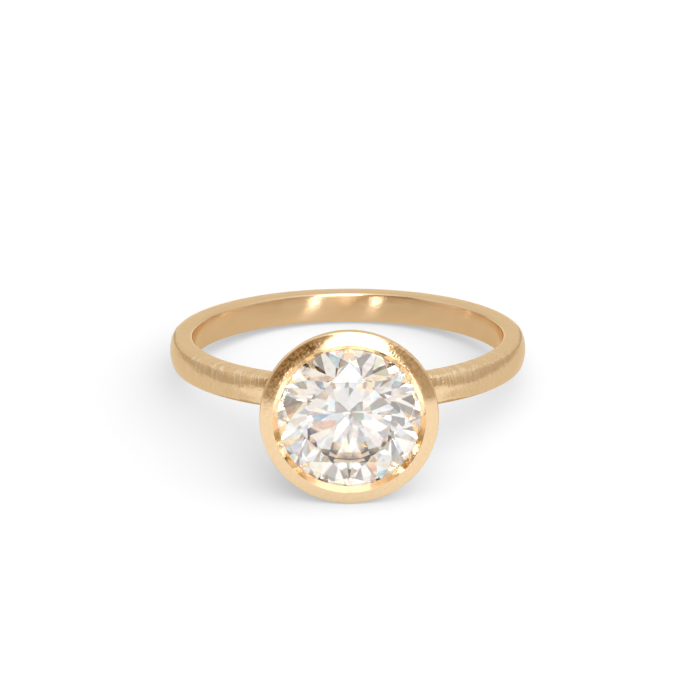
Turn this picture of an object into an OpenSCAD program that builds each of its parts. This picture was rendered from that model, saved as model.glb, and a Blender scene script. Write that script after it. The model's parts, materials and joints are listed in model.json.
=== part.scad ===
// Solitaire engagement ring: a domed gold band, a tapered bezel cup soldered on its crown,
// and a round brilliant held under the cup's burnished lip.
// It lies on its side as it rests by itself, on the bezel's lowest point and the back of the band.

/* [Finger] */
// Inside diameter of the band
finger_d = 16.9; // [15.5:0.1:18.5]

/* [Band] */
// Width of the band along the finger
band_w = 1.75; // [1.6:0.05:2.4]
// Thickness of the band, from the bore to the crest of its dome
band_t = 1.3; // [1.2:0.05:1.6]
// Radius of the dome across the band's outer face
band_dome_r = 1.9; // [1.7:0.1:3]
// Radius of the outer corners
band_corner_r = 0.3; // [0.2:0.02:0.36]
// Radius of the inner corners, eased for the finger
band_ease_r = 0.12; // [0.06:0.02:0.2]

/* [Stone] */
// Diameter of the stone across its girdle
stone_d = 8.1; // [7.5:0.1:8.5]
// Width of the table from corner to corner, as a share of the diameter
table_share = 0.58; // [0.54:0.01:0.62]
// Thickness of the girdle where the main facets meet it, as a share of the diameter
girdle_share = 0.035; // [0.03:0.005:0.045]
// Slope of the main crown facets, in degrees
crown_slope = 34.5; // [33:0.5:36]
// Slope of the main pavilion facets, in degrees
pavilion_slope = 40.75; // [40:0.25:41.5]
// Length of the star facets, as a share of the way from the table's edge to the girdle
star_share = 0.5; // [0.45:0.05:0.6]
// Length of the lower girdle facets, as a share of the way from the girdle to the culet
lower_share = 0.78; // [0.7:0.02:0.84]
// Height of the culet above the finger
culet_rise = 1.03; // [0.95:0.01:1.1]

/* [Bezel] */
// Thickness of the bezel's wall outside the girdle
bezel_wall = 0.63; // [0.5:0.01:0.8]
// How far the burnished lip covers the crown
lip_cover = 0.32; // [0.24:0.01:0.36]
// Width of the bright-cut slope inside the rim
lip_bevel_w = 0.27; // [0.15:0.01:0.3]
// Height of the bright-cut slope
lip_bevel_h = 0.3; // [0.25:0.01:0.35]
// How far the domed rim falls from its inner edge to its outer one
rim_fall = 0.3; // [0.2:0.01:0.35]
// Radius of the dome across the rim
rim_dome_r = 3; // [2:0.1:6]
// Radius of the rim's outer edge
rim_edge_r = 0.12; // [0.08:0.01:0.16]
// Width of the seat cut under the girdle
seat_w = 0.3; // [0.25:0.05:0.4]
// Outer radius of the cup's open base
cup_base_r = 2.95; // [2.6:0.05:3.2]
// Thickness of the cup's wall at its base
cup_base_wall = 0.65; // [0.5:0.05:0.8]
// Height of the cup's base above the finger
cup_base_rise = 0.5; // [0.4:0.05:0.7]

/* [Hidden] */

$fn = 96;

finger_r = finger_d / 2;
band_r = finger_r + band_t;
band_half_w = band_w / 2;

// Brilliant cut, with heights counted from the top of the girdle at its thickest
mains = 8;
half_step = 180 / mains;
quarter_step = half_step / 2;
stone_r = stone_d / 2;
girdle_h = stone_d * girdle_share;
table_r = stone_r * table_share;
table_edge_r = table_r * cos(half_step);
crown_h = (stone_r - table_r) * tan(crown_slope);
star_r = table_edge_r + star_share * (stone_r - table_edge_r);
star_h = (stone_r - star_r * cos(half_step)) * tan(crown_slope);
star_slope = atan((crown_h - star_h) / (star_r - table_edge_r));
upper_slope = atan(star_h / ((stone_r - star_r) * cos(quarter_step)));
pavilion_h = stone_r * tan(pavilion_slope);
lower_r = stone_r * (1 - lower_share);
lower_h = (stone_r - lower_r * cos(half_step)) * tan(pavilion_slope);
lower_slope = atan(lower_h / ((stone_r - lower_r) * cos(quarter_step)));

// One row a tier of facets: how many, the first one's azimuth, and a point and the slope of its plane
// Columns: count, azimuth, radius, height, slope
CROWN_MAINS = [mains, half_step, stone_r, 0, crown_slope];
UPPER_GIRDLES = [2 * mains, quarter_step, stone_r * cos(quarter_step), 0, upper_slope];
STARS = [mains, 0, table_edge_r, crown_h, star_slope];
PAVILION_MAINS = [mains, half_step, stone_r, 0, pavilion_slope];
LOWER_GIRDLES = [2 * mains, quarter_step, stone_r * cos(quarter_step), 0, lower_slope];

// Size of the block that stands for a grinding wheel, and what the rough stone has to spare
grinding_block = 20;
rough_spare = 0.5;

// Heights along the bezel's axis, counted from the finger's axis
setting_gap = 0.02;
culet_at = finger_r + culet_rise;
girdle_low_at = culet_at + pavilion_h;
girdle_top_at = girdle_low_at + girdle_h;
table_at = girdle_top_at + crown_h;
cup_base_at = finger_r + cup_base_rise;

// Section of the bezel, as radii and heights
bezel_r = stone_r + bezel_wall;
lip_r = stone_r - lip_cover;
lip_at = girdle_top_at + lip_cover * tan(upper_slope) + setting_gap;
rim_inner = [lip_r + lip_bevel_w, lip_at + lip_bevel_h];
side_low_at = girdle_top_at;
seat_r = stone_r + setting_gap;
seat_at = girdle_low_at - setting_gap;
seat_low_at = seat_at - seat_w * tan(pavilion_slope);

// The rim's dome: its centre, the centre of the round edge inside it, and where the two arcs meet
rim_chord = [bezel_r - rim_inner[0], -rim_fall];
rim_down = [rim_chord[1], -rim_chord[0]] / norm(rim_chord);
dome_centre = rim_inner + rim_chord / 2 + rim_down * sqrt(rim_dome_r ^ 2 - (norm(rim_chord) / 2) ^ 2);
edge_x = bezel_r - rim_edge_r;
edge_rise = sqrt((rim_dome_r - rim_edge_r) ^ 2 - (edge_x - dome_centre[0]) ^ 2);
edge_centre = [edge_x, dome_centre[1] + edge_rise];
dome_end = dome_centre + (edge_centre - dome_centre) * rim_dome_r / (rim_dome_r - rim_edge_r);

// The band's dome and the rounds of its corners, which cross the dome a hair outside a smooth run
corner_overlap = 0.004;
dome_x = band_r - band_dome_r;
corner_z = band_half_w - band_corner_r;
corner_x = dome_x + sqrt((band_dome_r - band_corner_r + corner_overlap) ^ 2 - corner_z ^ 2);
corner_end_z = corner_z * band_dome_r / (band_dome_r - band_corner_r);

// Rest pose: the floor touches the bezel's side at its low edge, and a corner of the band
rest_front = [-side_low_at, -bezel_r];
rest_back = [corner_x, -corner_z];
rest_line = rest_back - rest_front;
rest_tilt = atan2(rest_line[1], rest_line[0]) - asin(band_corner_r / norm(rest_line));
rest_lift = bezel_r * cos(rest_tilt) - side_low_at * sin(rest_tilt);
front_reach = table_at * cos(rest_tilt) + table_edge_r * sin(rest_tilt);
back_reach = dome_x * cos(rest_tilt) + band_dome_r;
rest_shift = (front_reach - back_reach) / 2;

// Stands what is built round the finger's axis on the floor, with the bezel towards -Y
module at_rest() {
    translate([0, rest_shift, rest_lift])
        rotate([-rest_tilt, 0, 0])
            children();
}

// Turns what is built along +Z so that it points out of the band along -Y
module on_bezel_axis() {
    rotate([90, 0, 0])
        children();
}

// The band's D-shaped section: flat inside with eased corners, domed outside with round ones
module band_section() {
    ease_x = finger_r + band_ease_r;
    ease_z = band_half_w - band_ease_r;
    intersection() {
        union() {
            translate([finger_r, -ease_z])
                square([corner_x - finger_r, 2 * ease_z]);
            translate([ease_x, -band_half_w])
                square([corner_x - ease_x, band_w]);
            translate([ease_x, -corner_end_z])
                square([band_r - ease_x, 2 * corner_end_z]);
            for (side = [-1, 1]) {
                translate([ease_x, side * ease_z])
                    circle(band_ease_r);
                translate([corner_x, side * corner_z])
                    circle(band_corner_r);
            }
        }
        translate([dome_x, 0])
            circle(band_dome_r);
    }
}

// Outer form of the bezel: a cone, a short straight side, a round edge and a domed rim
module bezel_outline() {
    polygon([
        [0, cup_base_at],
        [cup_base_r, cup_base_at],
        [bezel_r, side_low_at],
        [bezel_r, edge_centre[1]],
        edge_centre,
        dome_end,
        rim_inner,
        [0, rim_inner[1]],
    ]);
    translate(edge_centre)
        circle(rim_edge_r);
    intersection() {
        translate(dome_centre)
            circle(rim_dome_r);
        polygon([
            rim_inner,
            dome_end,
            dome_end + [0, rim_dome_r],
            rim_inner + [0, rim_dome_r],
        ]);
    }
}

// Hollow of the bezel: bright-cut slope, undercut for the crown, seat for the pavilion, open cone
module bezel_hollow() {
    polygon([
        [0, cup_base_at - 1],
        [cup_base_r - cup_base_wall, cup_base_at - 1],
        [cup_base_r - cup_base_wall, cup_base_at],
        [seat_r - seat_w, seat_low_at],
        [seat_r, seat_at],
        [seat_r, girdle_top_at + setting_gap],
        [lip_r, lip_at],
        rim_inner,
        rim_inner + [0, 1],
        [0, rim_inner[1] + 1],
    ]);
}

module bezel_cup() {
    on_bezel_axis()
        rotate_extrude()
            difference() {
                bezel_outline();
                bezel_hollow();
            }
}

// The mark of the setter's burr in the band, as wide as the pavilion's edges, which leaves room for the culet
module culet_dimple() {
    tip_at = culet_at - 2 * setting_gap;
    depth = band_r - tip_at;
    spread = depth / tan(pavilion_slope) / cos(half_step);
    on_bezel_axis()
        translate([0, 0, tip_at])
            cylinder(h = 2 * depth, r1 = 0, r2 = 2 * spread);
}

module band_with_bezel() {
    color("#d9b27c")
        at_rest() {
            difference() {
                rotate_extrude()
                    band_section();
                culet_dimple();
            }
            bezel_cup();
        }
}

// Grinds one tier of facets on what it is given: each block's lower face is a facet's plane
module grind(tier) {
    difference() {
        children();
        for (i = [0 : tier[0] - 1])
            rotate([0, 0, tier[1] + i * 360 / tier[0]])
                translate([tier[2], 0, tier[3]])
                    rotate([0, tier[4], 0])
                        translate([-grinding_block / 2, -grinding_block / 2, 0])
                            cube(grinding_block);
    }
}

// The rough stone: a cylinder from the table's plane down past the culet
module rough_stone() {
    depth = crown_h + girdle_h + pavilion_h + rough_spare;
    translate([0, 0, crown_h - depth])
        cylinder(h = depth, r = stone_r);
}

// Round brilliant: the crown is ground with the table up, then the pavilion with the stone turned over
module brilliant() {
    translate([0, 0, -girdle_h])
        mirror([0, 0, 1])
            grind(LOWER_GIRDLES)
                grind(PAVILION_MAINS)
                    mirror([0, 0, 1])
                        translate([0, 0, girdle_h])
                            grind(STARS)
                                grind(UPPER_GIRDLES)
                                    grind(CROWN_MAINS)
                                        rough_stone();
}

module diamond() {
    color("#eef1f4")
        at_rest()
            on_bezel_axis()
                translate([0, 0, girdle_top_at])
                    brilliant();
}

band_with_bezel();
diamond();
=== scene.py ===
import json
from math import atan, atan2, ceil, cos, pi, radians, sin, sqrt, tan

import bpy
from mathutils import Matrix, Vector


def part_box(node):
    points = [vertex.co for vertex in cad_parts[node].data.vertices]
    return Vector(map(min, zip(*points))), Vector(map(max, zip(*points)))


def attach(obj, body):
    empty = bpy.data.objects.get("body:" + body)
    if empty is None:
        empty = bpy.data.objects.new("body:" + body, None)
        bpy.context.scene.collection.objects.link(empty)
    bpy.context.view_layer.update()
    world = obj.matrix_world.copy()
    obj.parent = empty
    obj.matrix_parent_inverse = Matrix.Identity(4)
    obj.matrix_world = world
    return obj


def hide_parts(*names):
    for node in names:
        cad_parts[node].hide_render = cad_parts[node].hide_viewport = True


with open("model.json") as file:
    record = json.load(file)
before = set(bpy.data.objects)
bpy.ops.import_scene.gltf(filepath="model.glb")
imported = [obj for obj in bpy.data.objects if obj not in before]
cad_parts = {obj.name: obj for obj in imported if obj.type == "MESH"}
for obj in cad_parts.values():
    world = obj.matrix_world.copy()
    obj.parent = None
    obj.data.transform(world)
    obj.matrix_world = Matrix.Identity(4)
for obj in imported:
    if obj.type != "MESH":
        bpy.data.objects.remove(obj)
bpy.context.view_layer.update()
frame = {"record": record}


# The band
# A domed shank of 14 carat gold, drawn as D-shaped wire, bent round and closed. Its outer corners run
# smoothly into the dome, and the inner ones are eased so that it slides over the knuckle.
mm = 0.001
band_t = 1.3 * mm
band_half_w = 0.875 * mm
band_dome_r = 1.9 * mm
band_corner_r = 0.3 * mm
band_ease_r = 0.22 * mm
crown_r = 5 * mm
band_steps = 360

# The ring rests on its side, so the finger's axis leans. Every piece is drawn round an upright axis, with
# the stone towards -Y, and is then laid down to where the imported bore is.
bore = frame["record"]["mounts"][0]
bore_at = Vector(bore["pos_m"])
lean = atan2(bore["axis"][1], bore["axis"][2])
finger_r = bore["dims"]["r_mm"] * mm
band_r = finger_r + band_t

# Each corner's arc touches the arc next to it: the dome outside, and the crowned wall inside
dome_x = band_r - band_dome_r
corner_z = band_half_w - band_corner_r
corner_x = dome_x + sqrt((band_dome_r - band_corner_r) ** 2 - corner_z ** 2)
corner_reach = band_dome_r / (band_dome_r - band_corner_r)
corner_end_x = dome_x + (corner_x - dome_x) * corner_reach
corner_end_z = corner_z * corner_reach
crown_x = finger_r + crown_r
ease_z = band_half_w - band_ease_r
ease_x = crown_x - sqrt((crown_r - band_ease_r) ** 2 - ease_z ** 2)
ease_reach = crown_r / (crown_r - band_ease_r)
crown_end_x = crown_x + (ease_x - crown_x) * ease_reach
crown_end_z = ease_z * ease_reach


def turned(name, start, strokes, steps):
    """Turns a section round the Z axis, as on a lathe. A section is drawn as radius and height: a stroke
    is the point that it runs to, with the centre as well where it is an arc."""
    longest_line = 0.3 * mm
    longest_arc = 0.05 * mm
    fewest_parts = 4
    same_point = 0.0005 * mm
    bpy.ops.object.select_all(action="DESELECT")
    bpy.ops.mesh.primitive_plane_add(size=mm)
    piece = bpy.context.object
    piece.name = name
    bpy.ops.object.mode_set(mode="EDIT")
    bpy.ops.mesh.merge(type="CENTER")
    bpy.ops.transform.translate(value=(start[0], 0, start[1]))
    at = Vector(start)
    for stroke in strokes:
        to = Vector(stroke[:2])
        if len(stroke) == 2:
            parts = ceil((to - at).length / longest_line)
            step = (to - at) / parts
            for _ in range(parts):
                bpy.ops.mesh.extrude_region_move(TRANSFORM_OT_translate={"value": (step.x, 0, step.y)})
        else:
            centre = Vector(stroke[2:])
            arm = at - centre
            end = to - centre
            angle = atan2(arm.x * end.y - arm.y * end.x, arm.dot(end))
            parts = max(fewest_parts, ceil(abs(angle) * arm.length / longest_arc))
            bpy.ops.mesh.spin(steps=parts, angle=angle, center=(centre.x, 0, centre.y), axis=(0, 1, 0))
        at = to
    bpy.ops.mesh.select_all(action="SELECT")
    bpy.ops.mesh.remove_doubles(threshold=same_point)
    bpy.ops.mesh.spin(steps=steps, angle=2 * pi, center=(0, 0, 0), axis=(0, 0, 1))
    bpy.ops.mesh.select_all(action="SELECT")
    bpy.ops.mesh.remove_doubles(threshold=same_point)
    bpy.ops.mesh.normals_make_consistent(inside=False)
    bpy.ops.object.mode_set(mode="OBJECT")
    return piece


band = turned("ring_of_gold", (crown_end_x, -crown_end_z), [
    (crown_end_x, crown_end_z, crown_x, 0),
    (ease_x, band_half_w, ease_x, ease_z),
    (corner_x, band_half_w),
    (corner_end_x, corner_end_z, corner_x, corner_z),
    (corner_end_x, -corner_end_z, dome_x, 0),
    (corner_x, -band_half_w, corner_x, -corner_z),
    (ease_x, -band_half_w),
    (crown_end_x, -crown_end_z, ease_x, -ease_z),
], band_steps)


def node(tree, kind, inputs=None, **settings):
    """Adds a node to a material. Its inputs are sockets to link from, or plain values."""
    made = tree.nodes.new("ShaderNode" + kind)
    for name, value in settings.items():
        setattr(made, name, value)
    for name, value in (inputs or {}).items():
        if isinstance(value, bpy.types.NodeSocket):
            tree.links.new(value, made.inputs[name])
        else:
            made.inputs[name].default_value = value
    return made


def sums(tree, operation, *values):
    """Works out one number from others."""
    return node(tree, "Math", dict(enumerate(values)), operation=operation).outputs[0]


def plus(tree, total, *others):
    """Adds numbers up."""
    for other in others:
        total = sums(tree, "ADD", total, other)
    return total


def times(tree, product, *others):
    """Multiplies numbers."""
    for other in others:
        product = sums(tree, "MULTIPLY", product, other)
    return product


def away(tree, one, other):
    """Works out how far a place is from an axis, from how far it is along the two other axes."""
    flat = node(tree, "CombineXYZ", {0: one, 1: other}).outputs[0]
    return node(tree, "VectorMath", {0: flat}, operation="LENGTH").outputs["Value"]


def between(tree, value, low, high, to_low=0, to_high=1, ease="LINEAR"):
    """Carries a number from one range to another, and stops at its ends."""
    return node(tree, "MapRange", {
        "Value": value, "From Min": low, "From Max": high, "To Min": to_low, "To Max": to_high,
    }, interpolation_type=ease).outputs["Result"]


def blend(tree, share, *colours):
    """Mixes two colours. Each is a socket, or plain red, green and blue."""
    one, other = [c if isinstance(c, bpy.types.NodeSocket) else (*c, 1) for c in colours]
    mixed = node(tree, "Mix", {"Factor": share, "A": one, "B": other}, data_type="RGBA")
    return mixed.outputs["Result"]


def cloud(tree, at, sizes, turn=(0, 0, 0), detail=2):
    """Noise whose grains have these three sizes, in the units of the place that it reads, once that place
    is turned."""
    grain = node(tree, "Mapping", {"Vector": at, "Rotation": turn, "Scale": sizes}, vector_type="TEXTURE")
    return node(tree, "TexNoise", {"Vector": grain.outputs[0], "Scale": 1, "Detail": detail}).outputs[0]


def gold(name):
    """Starts a finish on 14 carat yellow gold. Gives its material, its nodes, and the place in millimetres
    on the ring as it was drawn, before it is laid down."""
    material = bpy.data.materials.new(name)
    material.use_nodes = True
    tree = material.node_tree
    shader = tree.nodes["Principled BSDF"]
    shader.inputs["Metallic"].default_value = 1
    shader.inputs["Specular Tint"].default_value = (0.97, 0.9, 0.76, 1)
    drawn = node(tree, "Mapping", {
        "Vector": node(tree, "TexCoord").outputs["Object"],
        "Location": bore_at, "Rotation": (-lean, 0, 0), "Scale": (mm, mm, mm),
    }, vector_type="TEXTURE").outputs[0]
    return material, tree, drawn


def polish(tree, colour, roughness, height, depth):
    """Gives the metal its colour, its roughness, and a relief of this depth in millimetres."""
    shader = tree.nodes["Principled BSDF"]
    relief = node(tree, "Bump", {"Height": height, "Distance": depth * mm, "Strength": 1})
    tree.links.new(colour, shader.inputs["Base Color"])
    tree.links.new(roughness, shader.inputs["Roughness"])
    tree.links.new(relief.outputs[0], shader.inputs["Normal"])


# Colours of the gold where it is bright, and where strokes or old polish dull it
bright_gold = (0.88, 0.66, 0.41)
dull_gold = (0.82, 0.58, 0.32)


def brushed_gold():
    """The shank's outside, rubbed across by hand with a fine abrasive, so that it isn't quite even. The
    strokes are deepest near the bezel, and wear has brightened the corners in spots."""
    bezel_y = -8.6
    calm_y = -2
    corner_girth = 10.3
    bare_gold = (1, 0.84, 0.6)
    material, tree, drawn = gold("brushed_gold")
    x, y, z = node(tree, "SeparateXYZ", {0: drawn}).outputs
    # How far round the finger a place is, and how far up and out on the shank
    arc = times(tree, sums(tree, "ARCTAN2", x, y), band_r / mm)
    girth = plus(tree, z, away(tree, x, y))
    along = node(tree, "CombineXYZ", {0: arc, 1: girth, 2: z}).outputs[0]
    across = cloud(tree, along, (0.09, 1.2, 1.2), (0, 0, radians(8)))
    left = cloud(tree, along, (0.1, 1.4, 1.4), (0, 0, radians(-38)))
    right = cloud(tree, along, (0.08, 1.6, 1.6), (0, 0, radians(33)))
    weave = plus(tree, across, left, right)
    patches = cloud(tree, drawn, (1.3, 1.3, 1.3))
    blotches = cloud(tree, along, (0.6, 0.35, 0.4), (0, 0, radians(20)))
    front = between(tree, y, bezel_y, calm_y, 1, 0.1)
    lines = cloud(tree, along, (0.1, 2.4, 2.4), (0, 0, radians(-10)), 1)
    upper = between(tree, z, -0.2, 0.5, 0.15, 1)
    scratch = times(tree, between(tree, lines, 0.55, 0.64), front, upper)
    off_corner = sums(tree, "ABSOLUTE", sums(tree, "SUBTRACT", girth, corner_girth))
    spots = between(tree, cloud(tree, along, (0.28, 0.16, 0.3)), 0.55, 0.68)
    worn = times(tree, between(tree, off_corner, 0.03, 0.2, 1, 0), spots,
                 between(tree, y, bezel_y, 0, 1, 0.3))
    strength = times(tree, front, between(tree, patches, 0.35, 0.65, 0.4, 1))
    height = plus(tree, times(tree, plus(tree, weave, scratch), strength), times(tree, patches, 5),
                  times(tree, worn, 1.5), times(tree, blotches, 3.5))
    contrast = sums(tree, "SUBTRACT", between(tree, weave, 1.2, 1.8), 0.5)
    plain = blend(tree, sums(tree, "MULTIPLY_ADD", contrast, front, 0.5), dull_gold, bright_gold)
    bared = sums(tree, "MAXIMUM", times(tree, scratch, 0.7), worn)
    roughness = between(tree, plus(tree, weave, patches), 1.6, 2.4, 0.14, 0.25)
    polish(tree, blend(tree, bared, plain, bare_gold), roughness, height, 0.005)
    return material


def polished_gold():
    """The inner wall, polished along the finger hole on a felt cone. Its hairlines run round the finger
    and draw each highlight out across themselves."""
    material, tree, drawn = gold("polished_gold")
    shader = tree.nodes["Principled BSDF"]
    shader.inputs["Anisotropic"].default_value = 0.85
    shader.inputs["Anisotropic Rotation"].default_value = 0.3
    x, y, z = node(tree, "SeparateXYZ", {0: drawn}).outputs
    arc = times(tree, sums(tree, "ARCTAN2", x, y), finger_r / mm)
    along = node(tree, "CombineXYZ", {0: arc, 1: z}).outputs[0]
    hairs = cloud(tree, along, (3, 0.05, 1), (0, 0, radians(-8)))
    waves = cloud(tree, along, (1.8, 0.9, 1), (0, 0, radians(30)), 1)
    height = plus(tree, times(tree, hairs, 0.15), times(tree, waves, 0.5))
    roughness = between(tree, hairs, 0.35, 0.65, 0.16, 0.22)
    polish(tree, blend(tree, waves, (0.8, 0.59, 0.36), (0.86, 0.66, 0.43)), roughness, height, 0.02)
    return material


# The inner wall is polished as far as the middle of its eased corners
on_wall = 1
polish_end_x = crown_end_x + 0.5 * band_ease_r
polish_end_z = 0.99 * band_half_w
band.data.materials.append(brushed_gold())
band.data.materials.append(polished_gold())
for face in band.data.polygons:
    r = Vector((face.center.x, face.center.y)).length
    if abs(face.center.z) < polish_end_z and r < polish_end_x:
        face.material_index = on_wall


# The stone
# A diamond of 8.1 mm, ground facet by facet on a flat lap into a round brilliant: a table, 8 stars, 8 mains
# and 16 upper girdle facets, a fine bruted girdle, and 8 mains and 16 lower girdle facets under it. The
# bezel's lip holds it down on its seat.
stone_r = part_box("diamond")[1].x
mains = 8
crown_slope = radians(34.5)
pavilion_slope = radians(40.75)
culet_rise = 1.03 * mm
rough_sides = 192

# As shares of the radius: the table's, the girdle's height, and how near the lower facets leave the culet
table_share = 0.58
girdle_share = 0.07
lower_share = 0.22

half_step = pi / mains
quarter_step = half_step / 2
girdle_h = girdle_share * stone_r
table_r = table_share * stone_r
table_edge_r = table_r * cos(half_step)
crown_h = (stone_r - table_r) * tan(crown_slope)
star_r = (table_edge_r + stone_r) / 2
star_h = (stone_r - star_r * cos(half_step)) * tan(crown_slope)
star_slope = atan((crown_h - star_h) / (star_r - table_edge_r))
upper_slope = atan(star_h / ((stone_r - star_r) * cos(quarter_step)))
pavilion_h = stone_r * tan(pavilion_slope)
lower_r = lower_share * stone_r
lower_h = (stone_r - lower_r * cos(half_step)) * tan(pavilion_slope)
lower_slope = atan(lower_h / ((stone_r - lower_r) * cos(quarter_step)))
edge_r = stone_r * cos(quarter_step)

# Heights along the stone's axis, from the finger's
culet_at = finger_r + culet_rise
girdle_low_at = culet_at + pavilion_h
girdle_top_at = girdle_low_at + girdle_h
table_at = girdle_top_at + crown_h

# One row a tier of facets: how many, the first one's turn, a radius and a height on it, its slope
crown_tiers = [
    (mains, half_step, stone_r, girdle_top_at, crown_slope),
    (2 * mains, quarter_step, edge_r, girdle_top_at, upper_slope),
    (mains, 0, table_edge_r, table_at, star_slope),
]
pavilion_tiers = [
    (mains, half_step, stone_r, girdle_low_at, pavilion_slope),
    (2 * mains, quarter_step, edge_r, girdle_low_at, lower_slope),
]


def grind(count, first_turn, r, height, slope, side):
    """Cuts one tier of flat facets on the stone, above its girdle (side 1) or below it (side -1)."""
    flush = 0.0001 * mm
    for i in range(count):
        turn = first_turn + i * 2 * pi / count
        bpy.ops.mesh.select_all(action="SELECT")
        bpy.ops.mesh.bisect(
            plane_co=(r * cos(turn), r * sin(turn), height),
            plane_no=(sin(slope) * cos(turn), sin(slope) * sin(turn), side * cos(slope)),
            use_fill=True, clear_outer=True, threshold=flush)


bpy.ops.object.select_all(action="DESELECT")
bpy.ops.mesh.primitive_cylinder_add(vertices=rough_sides, radius=stone_r, depth=2 * table_at)
stone = bpy.context.object
stone.name = "brilliant"
bpy.ops.object.mode_set(mode="EDIT")
for tier in crown_tiers:
    grind(*tier, 1)
for tier in pavilion_tiers:
    grind(*tier, -1)
bpy.ops.object.mode_set(mode="OBJECT")


def pick(piece):
    """Selects one piece and nothing else."""
    bpy.ops.object.select_all(action="DESELECT")
    piece.select_set(True)
    bpy.context.view_layer.objects.active = piece


def place(piece, turn, move=(0, 0, 0)):
    """Turns and moves a piece, and then puts the place into its mesh."""
    pick(piece)
    piece.rotation_euler = turn
    piece.location = move
    bpy.ops.object.transform_apply(location=True, rotation=True, scale=True)


def diamond(name, size, detail, depth, grey, white):
    """Starts a finish on colourless diamond, whose grain has this size and depth in millimetres. Gives its
    material, its nodes and the grain."""
    material = bpy.data.materials.new(name)
    material.use_nodes = True
    tree = material.node_tree
    shader = tree.nodes["Principled BSDF"]
    at = node(tree, "Mapping", {
        "Vector": node(tree, "TexCoord").outputs["Object"], "Scale": (mm, mm, mm),
    }, vector_type="TEXTURE").outputs[0]
    grain = cloud(tree, at, (size, size, size), detail=detail)
    relief = node(tree, "Bump", {"Height": grain, "Distance": depth * mm, "Strength": 1})
    tree.links.new(relief.outputs[0], shader.inputs["Normal"])
    tree.links.new(blend(tree, grain, grey, white), shader.inputs["Base Color"])
    shader.inputs["Transmission Weight"].default_value = 1
    shader.inputs["IOR"].default_value = 2.417
    return material, tree, grain


def diamond_cut():
    """The facets, lapped flat and clear, with the faintest waves."""
    material, tree, _ = diamond("diamond_cut", 1.1, 1, 0.004, (0.985, 0.985, 0.985), (1, 0.998, 0.994))
    tree.nodes["Principled BSDF"].inputs["Roughness"].default_value = 0
    return material


def bruted_girdle():
    """The girdle, left as it was ground round against another diamond: fine and frosty."""
    material, tree, grain = diamond("bruted_girdle", 0.03, 2, 0.002, (0.93, 0.93, 0.93), (1, 1, 1))
    roughness = between(tree, grain, 0.3, 0.7, 0.25, 0.4)
    tree.links.new(roughness, tree.nodes["Principled BSDF"].inputs["Roughness"])
    return material


# The girdle's faces stand square to the table, or nearly so. The facets' edges stay sharp.
on_girdle = 1
girdle_tilt = 0.1
facet_edge = radians(4)
stone.data.materials.append(diamond_cut())
stone.data.materials.append(bruted_girdle())
for face in stone.data.polygons:
    if abs(face.normal.z) < girdle_tilt:
        face.material_index = on_girdle
place(stone, (pi / 2, 0, 0))
bpy.ops.object.shade_smooth_by_angle(angle=facet_edge)
place(stone, (-lean, 0, 0), bore_at)
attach(stone, "root")
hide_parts("diamond")


# The bezel
# A tapered cup, turned to fit the stone and soldered on the band's crown, open below for the light. Its
# upper edge is burnished down over the girdle, domed, and cut bright on the slope next to the stone.
setting_gap = 0.02 * mm
bezel_wall = 0.63 * mm
lip_cover = 0.32 * mm
slope_w = 0.27 * mm
slope_h = 0.3 * mm
rim_fall = 0.3 * mm
rim_dome_r = 3 * mm
rim_edge_r = 0.12 * mm
seat_w = 0.3 * mm
cup_base_r = 2.95 * mm
cup_hole_r = 2.3 * mm
cup_base_rise = 0.5 * mm
bezel_steps = 288

bezel_r = stone_r + bezel_wall
lip_r = stone_r - lip_cover
lip_at = girdle_top_at + lip_cover * tan(upper_slope) + setting_gap
rim_inner = Vector((lip_r + slope_w, lip_at + slope_h))
seat_r = stone_r + setting_gap
seat_top_at = girdle_top_at + setting_gap
seat_at = girdle_low_at - setting_gap
cup_base_at = finger_r + cup_base_rise

# The rim's dome runs smoothly into the round edge outside it
rim_chord = Vector((bezel_r - rim_inner.x, -rim_fall))
rim_down = Vector((rim_chord.y, -rim_chord.x)).normalized()
dome_centre = rim_inner + rim_chord / 2 + rim_down * sqrt(rim_dome_r ** 2 - (rim_chord.length / 2) ** 2)
edge_x = bezel_r - rim_edge_r
edge_rise = sqrt((rim_dome_r - rim_edge_r) ** 2 - (edge_x - dome_centre.x) ** 2)
edge_centre = Vector((edge_x, dome_centre.y + edge_rise))
dome_end = dome_centre + (edge_centre - dome_centre) * rim_dome_r / (rim_dome_r - rim_edge_r)

cup = turned("bezel", (cup_hole_r, cup_base_at), [
    (cup_base_r, cup_base_at),
    (bezel_r, girdle_top_at),
    (bezel_r, edge_centre.y),
    (dome_end.x, dome_end.y, edge_centre.x, edge_centre.y),
    (rim_inner.x, rim_inner.y, dome_centre.x, dome_centre.y),
    (lip_r, lip_at),
    (seat_r, seat_top_at),
    (seat_r, seat_at),
    (seat_r - seat_w, seat_at - seat_w * tan(pavilion_slope)),
    (cup_hole_r, cup_base_at),
], bezel_steps)
place(cup, (pi / 2, 0, 0))


def turned_gold():
    """The cup's outside, with strokes that run from the base to the rim."""
    material, tree, drawn = gold("turned_gold")
    strokes = cloud(tree, drawn, (0.07, 0.9, 0.07))
    patches = cloud(tree, drawn, (1.2, 1.2, 1.2))
    roughness = between(tree, plus(tree, strokes, patches), 0.7, 1.3, 0.14, 0.3)
    polish(tree, blend(tree, patches, dull_gold, bright_gold), roughness, strokes, 0.006)
    return material


def seat_gold():
    """The hollow under the stone, reamed and polished before the stone was set. A faint warm glow stands in
    for the light that the stone throws on it."""
    material, tree, drawn = gold("seat_gold")
    shader = tree.nodes["Principled BSDF"]
    shader.inputs["Emission Color"].default_value = (1, 0.74, 0.5, 1)
    shader.inputs["Emission Strength"].default_value = 0.55
    rings = cloud(tree, drawn, (0.5, 0.06, 0.5))
    roughness = between(tree, rings, 0.3, 0.7, 0.2, 0.35)
    polish(tree, blend(tree, rings, (0.96, 0.82, 0.62), (0.99, 0.88, 0.7)), roughness, rings, 0.004)
    return material


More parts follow.
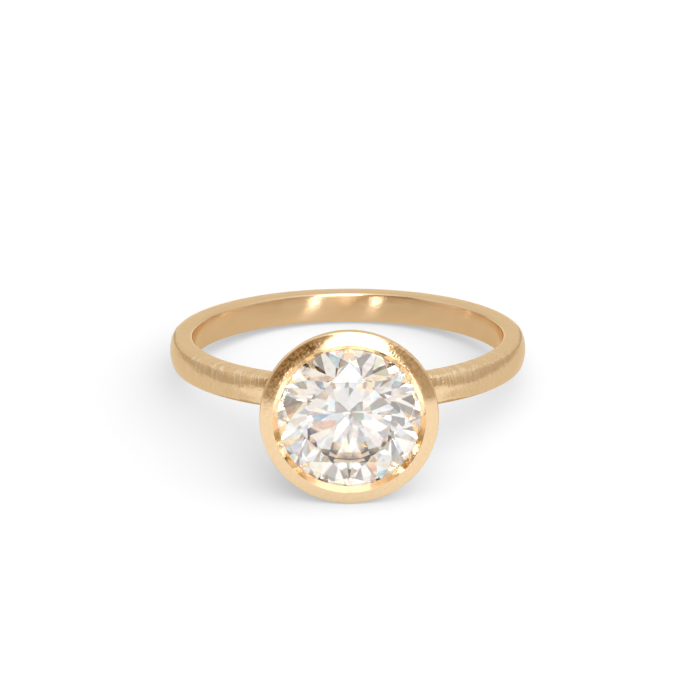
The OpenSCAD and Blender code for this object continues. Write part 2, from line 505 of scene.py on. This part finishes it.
def within(tree, value, start, full, fade, end):
    """Gives 1 between full and fade, and less and less towards start and end."""
    return times(tree, between(tree, value, start, full), between(tree, value, fade, end, 1, 0))


def rim_gold():
    """The domed rim, burnished down and then rubbed crosswise. It is left rough and flecked at its upper
    left, and a little at its upper right, and there its colour is painted with dark flecks, a painted
    reflection of the dark room beside it."""
    material, tree, drawn = gold("rim_gold")
    x, _, z = node(tree, "SeparateXYZ", {0: drawn}).outputs
    around = sums(tree, "ARCTAN2", x, z)
    rising = cloud(tree, drawn, (0.22, 0.22, 0.09), (0, radians(-50), 0))
    falling = cloud(tree, drawn, (0.2, 0.2, 0.1), (0, radians(35), 0))
    weave = plus(tree, rising, falling)
    crest = within(tree, away(tree, x, z), 4.04, 4.2, 4.5, 4.6)
    # These masks roughen the rim, and also choose where its colour is painted with dark reflection
    left = within(tree, around, radians(-90), radians(-40), radians(-28), radians(-19))
    left = times(tree, left, crest)
    right = within(tree, around, radians(24), radians(30), radians(40), radians(70))
    rough = plus(tree, times(tree, left, 0.4), times(tree, right, 0.5), 0.08)
    plain = blend(tree, between(tree, weave, 0.8, 1.2), (0.87, 0.635, 0.38), (0.905, 0.675, 0.42))
    # Painted reflection: where the rim mirrors the dark room, at its upper left and a little at its upper
    # right, its colour is painted dark and light in flecks
    painted_dark_flecks = blend(tree, between(tree, weave, 0.82, 1.14), (0.33, 0.18, 0.065), (0.92, 0.65, 0.34))
    polish(tree, blend(tree, plus(tree, left, times(tree, right, 0.35)), plain, painted_dark_flecks),
           between(tree, weave, 0.7, 1.3, 0.1, 0.18), times(tree, weave, rough), 0.012)
    return material


def cut_gold():
    """The slope next to the stone, cut bright with a polished graver, in short passes that meet unevenly.
    Low on both sides its colour is painted darker in patches, a painted reflection of dark things beside
    it."""
    material, tree, drawn = gold("cut_gold")
    passes = cloud(tree, drawn, (0.8, 0.8, 0.8), detail=1)
    lines = cloud(tree, drawn, (0.2, 0.2, 0.2))
    x, _, z = node(tree, "SeparateXYZ", {0: drawn}).outputs
    around = sums(tree, "ABSOLUTE", sums(tree, "ARCTAN2", x, z))
    # Painted reflection: low on both sides the slope's colour is painted dark in patches, where it mirrors
    # dark things beside it
    painted_low_sides = within(tree, around, radians(88), radians(105), radians(138), radians(152))
    painted_dark_patches = times(tree, painted_low_sides, between(tree, passes, 0.44, 0.6, 1, 0.15))
    plain = blend(tree, passes, (0.9, 0.71, 0.46), (1, 0.83, 0.6))
    roughness = between(tree, lines, 0.3, 0.7, 0.16, 0.26)
    polish(tree, blend(tree, painted_dark_patches, plain, (0.5, 0.32, 0.13)), roughness, passes, 0.04)
    return material


# What looks inwards is the seat. Over the girdle, the rim lies outside the slope.
on_rim, on_slope, on_seat = 1, 2, 3
inwards = -0.3
seat = seat_gold()
for finish in (turned_gold(), rim_gold(), cut_gold(), seat):
    cup.data.materials.append(finish)
for face in cup.data.polygons:
    out = Vector((face.center.x, 0, face.center.z))
    off = out.length
    if face.normal.dot(out) < inwards * off:
        face.material_index = on_seat
    if -face.center.y > seat_top_at and off > lip_r:
        face.material_index = on_rim if off > rim_inner.x else on_slope

# The band's crest closes the cup's base, and shares its polish and its painted glow
on_crest = 2
crest_r = cup_hole_r + 0.2 * mm
band.data.materials.append(seat)
for face in band.data.polygons:
    off = Vector((face.center.x, 0, face.center.z)).length
    if face.center.y < -ease_x and off < crest_r:
        face.material_index = on_crest


# The dimple
# The mark that the setter's burr has left in the band's crest, right under the stone, so that the culet
# doesn't stand on the band. It is as wide as the pavilion's edges, and polished like the seat, with the
# same painted glow.
dimple_at = culet_at - 2 * setting_gap
dimple_h = band_r - dimple_at
dimple_r = dimple_h / tan(pavilion_slope) / cos(half_step)
burr_sides = 96

# The burr is twice as long and wide as its mark, so that it stands out of the band
bpy.ops.object.select_all(action="DESELECT")
bpy.ops.mesh.primitive_cone_add(vertices=burr_sides, radius1=0, radius2=2 * dimple_r, depth=2 * dimple_h)
burr = bpy.context.object
burr.data.materials.append(seat)
place(burr, (pi / 2, 0, 0), (0, -dimple_at - dimple_h, 0))


def combine(piece, other, operation):
    """Joins another solid to a piece, or cuts it away, and then removes the other one."""
    pick(piece)
    change = piece.modifiers.new("change", "BOOLEAN")
    change.operation = operation
    change.material_mode = "TRANSFER"
    change.object = other
    bpy.ops.object.modifier_apply(modifier="change")
    bpy.data.objects.remove(other)


combine(band, burr, "DIFFERENCE")


# The solder
# The cup stands on the band's crest, where solder of the same gold has run round the joint. Once that is
# filed clean, band and bezel are one piece, which is laid down round its finger hole.
sharp_edge = radians(20)
combine(band, cup, "UNION")
pick(band)
bpy.ops.object.shade_smooth_by_angle(angle=sharp_edge)
flats = band.modifiers.new("flats", "WEIGHTED_NORMAL")
flats.keep_sharp = True
bpy.ops.object.modifier_apply(modifier="flats")
place(band, (-lean, 0, 0), bore_at)
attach(band, "root")
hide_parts("band_with_bezel")


# The studio
# A plain floor of pale paper under soft light. One tall softbox stands behind and above the camera, and
# round the ring are a few cards and a rail that the metal mirrors and nothing else sees.
floor_w = 4
paper_tone = (0.46, 0.46, 0.46, 1)
paper_glow = 0.45

bpy.ops.object.select_all(action="DESELECT")
bpy.ops.mesh.primitive_plane_add(size=floor_w)
floor = bpy.context.object
floor.name = "floor"
paper = bpy.data.materials.new("white_paper")
paper.use_nodes = True
shader = paper.node_tree.nodes["Principled BSDF"]
shader.inputs["Base Color"].default_value = paper_tone
shader.inputs["Emission Color"].default_value = (1, 1, 1, 1)
shader.inputs["Emission Strength"].default_value = paper_glow
shader.inputs["Roughness"].default_value = 1
shader.inputs["Specular IOR Level"].default_value = 0
floor.data.materials.append(paper)
floor.visible_transmission = False

# The room, as the metal mirrors it: warm walls under a white ceiling, darker in front than at the sides
front_wall = (0.48, 0.39, 0.29)
side_wall = (0.63, 0.56, 0.47)
back_wall = (0.8, 0.76, 0.71)
front_ceiling = (1.35, 1.35, 1.33)
side_ceiling = (0.84, 0.82, 0.79)

world = bpy.data.worlds.new("studio")
bpy.context.scene.world = world
world.use_nodes = True
tree = world.node_tree
way = node(tree, "TexCoord").outputs["Generated"]
x, y, z = node(tree, "SeparateXYZ", {0: way}).outputs
turn = sums(tree, "ABSOLUTE", sums(tree, "ARCTAN2", x, times(tree, y, -1)))
side = between(tree, turn, radians(50), radians(75))
back = between(tree, turn, radians(100), radians(150))
low = between(tree, side, 0, 1, 0.55, 0.08)
high = between(tree, side, 0, 1, 0.9, 0.42)
walls = blend(tree, back, blend(tree, side, front_wall, side_wall), back_wall)
overhead = blend(tree, back, blend(tree, side, front_ceiling, side_ceiling), back_wall)
room = blend(tree, between(tree, z, low, high, ease="SMOOTHSTEP"), walls, overhead)


def heading(turn, height):
    """The way to a place at this turn from straight ahead (to the right) and this height, in radians."""
    return Vector((sin(turn) * cos(height), -cos(turn) * cos(height), sin(height)))


def nearness(tree, way, turn, height):
    """How near a way is to a turn and a height in degrees, as the cosine of the angle between them."""
    place_way = heading(radians(turn), radians(height))
    return node(tree, "VectorMath", {0: way, 1: place_way}, operation="DOT_PRODUCT").outputs["Value"]


# All other light from the room is white, and strongest from the front right
key_turn = 42
key_height = 50
dim_white = (0.3, 0.3, 0.3)
key_white = (2.15, 2.15, 2.15)
key = between(tree, nearness(tree, way, key_turn, key_height), 0.3, 0.95, ease="SMOOTHSTEP")
white = blend(tree, key, dim_white, key_white)
path = node(tree, "LightPath")
mirrored = blend(tree, path.outputs["Is Glossy Ray"], white, room)

# What the stone gathers: windows, pale walls and dark gaps, parted a little into colours by the diamond
parting = radians(0.9)
tones = []
for part in (-1, 0, 1):
    gaps = cloud(tree, way, (0.3, 0.3, 0.3), (parting * part, 0, parting * part), 4)
    gap_tone = 0.33 - 0.04 * part
    wall_tone = 1.2 - 0.065 * part
    tones.append(between(tree, gaps, 0.38, 0.62, gap_tone, wall_tone, "SMOOTHSTEP"))
gathered = node(tree, "CombineColor", dict(enumerate(tones))).outputs[0]

# One row a grey or bright place in it: turn, height and reach in degrees, tone
spots = [
    (6, 22, 9, 0.5),
    (-8, 40, 9, 0.45),
    (-14, 52, 8, 0.7),
    (29, 7, 14, 1.15),
    (-6, -20, 22, 1.12),
]
even_part = 0.6
spot_share = 0.8
for spot_turn, spot_height, reach, tone in spots:
    near = nearness(tree, way, spot_turn, spot_height)
    share = between(tree, near, cos(radians(reach)), cos(radians(even_part * reach)), 0, spot_share)
    gathered = blend(tree, share, gathered, (tone, 0.985 * tone, 0.96 * tone))

# The light on its seat comes from overhead and from behind
seat_light = (2.7, 2.55, 2.4)
lit = sums(tree, "MAXIMUM", between(tree, z, 0.84, 0.92), between(tree, y, 0.1, 0.4))
gathered = blend(tree, lit, gathered, seat_light)
seen = blend(tree, path.outputs["Is Transmission Ray"], mirrored, gathered)
tree.links.new(seen, tree.nodes["Background"].inputs["Color"])


def glow(name, light, colour=(1, 1, 1)):
    """A surface that shines evenly."""
    material = bpy.data.materials.new(name)
    material.use_nodes = True
    material.node_tree.nodes.clear()
    shine = node(material.node_tree, "Emission", {"Color": (*colour, 1), "Strength": light})
    out = node(material.node_tree, "OutputMaterial")
    material.node_tree.links.new(shine.outputs[0], out.inputs[0])
    return material


def hide(piece, mirrored_only):
    """Takes studio gear out of the picture, or out of all but what the metal mirrors."""
    piece.visible_camera = False
    piece.visible_shadow = False
    piece.visible_diffuse = not mirrored_only
    piece.visible_transmission = False


def card(name, left, right, low, high, distance, light, colour=(1, 1, 1), mirrored_only=False):
    """A flat card that faces the ring, with its edges at these turns from straight ahead (to the right) and
    these heights above the floor, in degrees."""
    turn = radians(left + right) / 2
    height = radians(low + high) / 2
    width = 2 * distance * tan(radians(right - left) / 2) * cos(height)
    depth = 2 * distance * tan(radians(high - low) / 2)
    bpy.ops.object.select_all(action="DESELECT")
    bpy.ops.mesh.primitive_plane_add(size=1)
    piece = bpy.context.object
    piece.name = name
    card_way = heading(turn, height)
    piece.scale = (width, depth, 1)
    piece.rotation_euler = card_way.to_track_quat("Z", "Y").to_euler()
    piece.location = bore_at + distance * card_way
    piece.data.materials.append(glow(name, light, colour))
    hide(piece, mirrored_only)


# Edges in degrees, then the distance in metres and the light
card("main_softbox", -15, 27, 18, 60, 0.6, 3.5)
card("left_window", -26, -19, 3, 11, 0.6, 22, mirrored_only=True)
card("right_window", 20.5, 27, 3, 11, 0.59, 22, mirrored_only=True)
card("left_flag", -62, -17, 12, 55, 0.55, 0.36, (1, 0.74, 0.47), mirrored_only=True)


def floor_card(name, start, end, width, near, far):
    """A strip on the floor between two points in millimetres, whose glow runs from one colour to another
    along it. Only the metal mirrors it."""
    lift = 0.02 * mm
    start = Vector((*start, 0)) * mm
    end = Vector((*end, 0)) * mm
    run = end - start
    bpy.ops.object.select_all(action="DESELECT")
    bpy.ops.mesh.primitive_plane_add(size=1)
    piece = bpy.context.object
    piece.name = name
    piece.scale = (width * mm, run.length, 1)
    piece.rotation_euler = (0, 0, atan2(-run.x, run.y))
    piece.location = (start + end) / 2 + Vector((0, 0, lift))
    shade = glow(name, 1)
    tree = shade.node_tree
    along = node(tree, "SeparateXYZ", {0: node(tree, "TexCoord").outputs["Generated"]}).outputs[1]
    tree.links.new(blend(tree, along, near, far), tree.nodes["Emission"].inputs["Color"])
    piece.data.materials.append(shade)
    hide(piece, mirrored_only=True)


# The floor that the metal mirrors is a little darker than the paper, as painted shade of the ring, and
# warm inside the ring, as painted light thrown back by the gold
pale = (0.82, 0.78, 0.73)
floor_card("left_shade", (-17, 14), (-17, -8), 16, pale, pale)
floor_card("right_shade", (17, 14), (17, -8), 16, pale, pale)
floor_card("hole_shade", (0, 11.5), (0, -6), 17, (0.8, 0.7, 0.58), (0.56, 0.46, 0.32))

# A low rail on both sides of the ring, which the metal mirrors just over the floor
rail_r = 25 * mm
rail_low = -mm
rail_h = 6 * mm
rail_start = radians(58)
rail_end = radians(152)

bpy.ops.object.select_all(action="DESELECT")
bpy.ops.mesh.primitive_circle_add(vertices=120, radius=rail_r, location=(0, 0, rail_low))
rail = bpy.context.object
rail.name = "rail"
bpy.ops.object.mode_set(mode="EDIT")
bpy.ops.mesh.extrude_region_move(TRANSFORM_OT_translate={"value": (0, 0, rail_h)})
bpy.ops.mesh.select_all(action="DESELECT")
bpy.ops.object.mode_set(mode="OBJECT")
for corner in rail.data.vertices:
    corner_turn = abs(atan2(corner.co.x, -corner.co.y))
    corner.select = not rail_start < corner_turn < rail_end
bpy.ops.object.mode_set(mode="EDIT")
bpy.ops.mesh.delete(type="VERT")
bpy.ops.object.mode_set(mode="OBJECT")
rail.data.materials.append(glow("rail", 0.57, (1, 0.9, 0.79)))
hide(rail, mirrored_only=True)


# The camera
# A long lens a quarter of a metre off, above the ring and almost straight ahead of the stone. It aims a
# hair to the right of the finger hole's middle and below it, and is rolled by a hair.
camera_away = 0.25
camera_height = radians(15.61) + lean
camera_turn = radians(-0.28)
camera_roll = radians(-0.15)
aim_right = 0.124 * mm
aim_down = 0.123 * mm
sensor_w = 0.036
focal_px = 4549
image_px = 700
bounces = 24

camera_data = bpy.data.cameras.new("camera")
camera_data.sensor_width = sensor_w / mm
camera_data.lens = sensor_w / mm * focal_px / image_px
camera_data.clip_start = 0.01
camera = bpy.data.objects.new("camera", camera_data)
bpy.context.scene.collection.objects.link(camera)
camera_way = heading(camera_turn, camera_height)
right = Vector((cos(camera_turn), sin(camera_turn), 0))
up = camera_way.cross(right)
camera.location = bore_at + camera_away * camera_way
aim = bore_at + aim_right * right - aim_down * up
camera.rotation_euler = ((camera.location - aim).to_track_quat("Z", "Y").to_matrix()
                         @ Matrix.Rotation(camera_roll, 3, "Z")).to_euler()
bpy.context.scene.camera = camera
bpy.context.scene.view_settings.view_transform = "Standard"

# Light is thrown about many times inside the stone before it leaves
bpy.context.scene.cycles.max_bounces = bounces
bpy.context.scene.cycles.transmission_bounces = bounces
bpy.context.scene.cycles.caustics_reflective = False
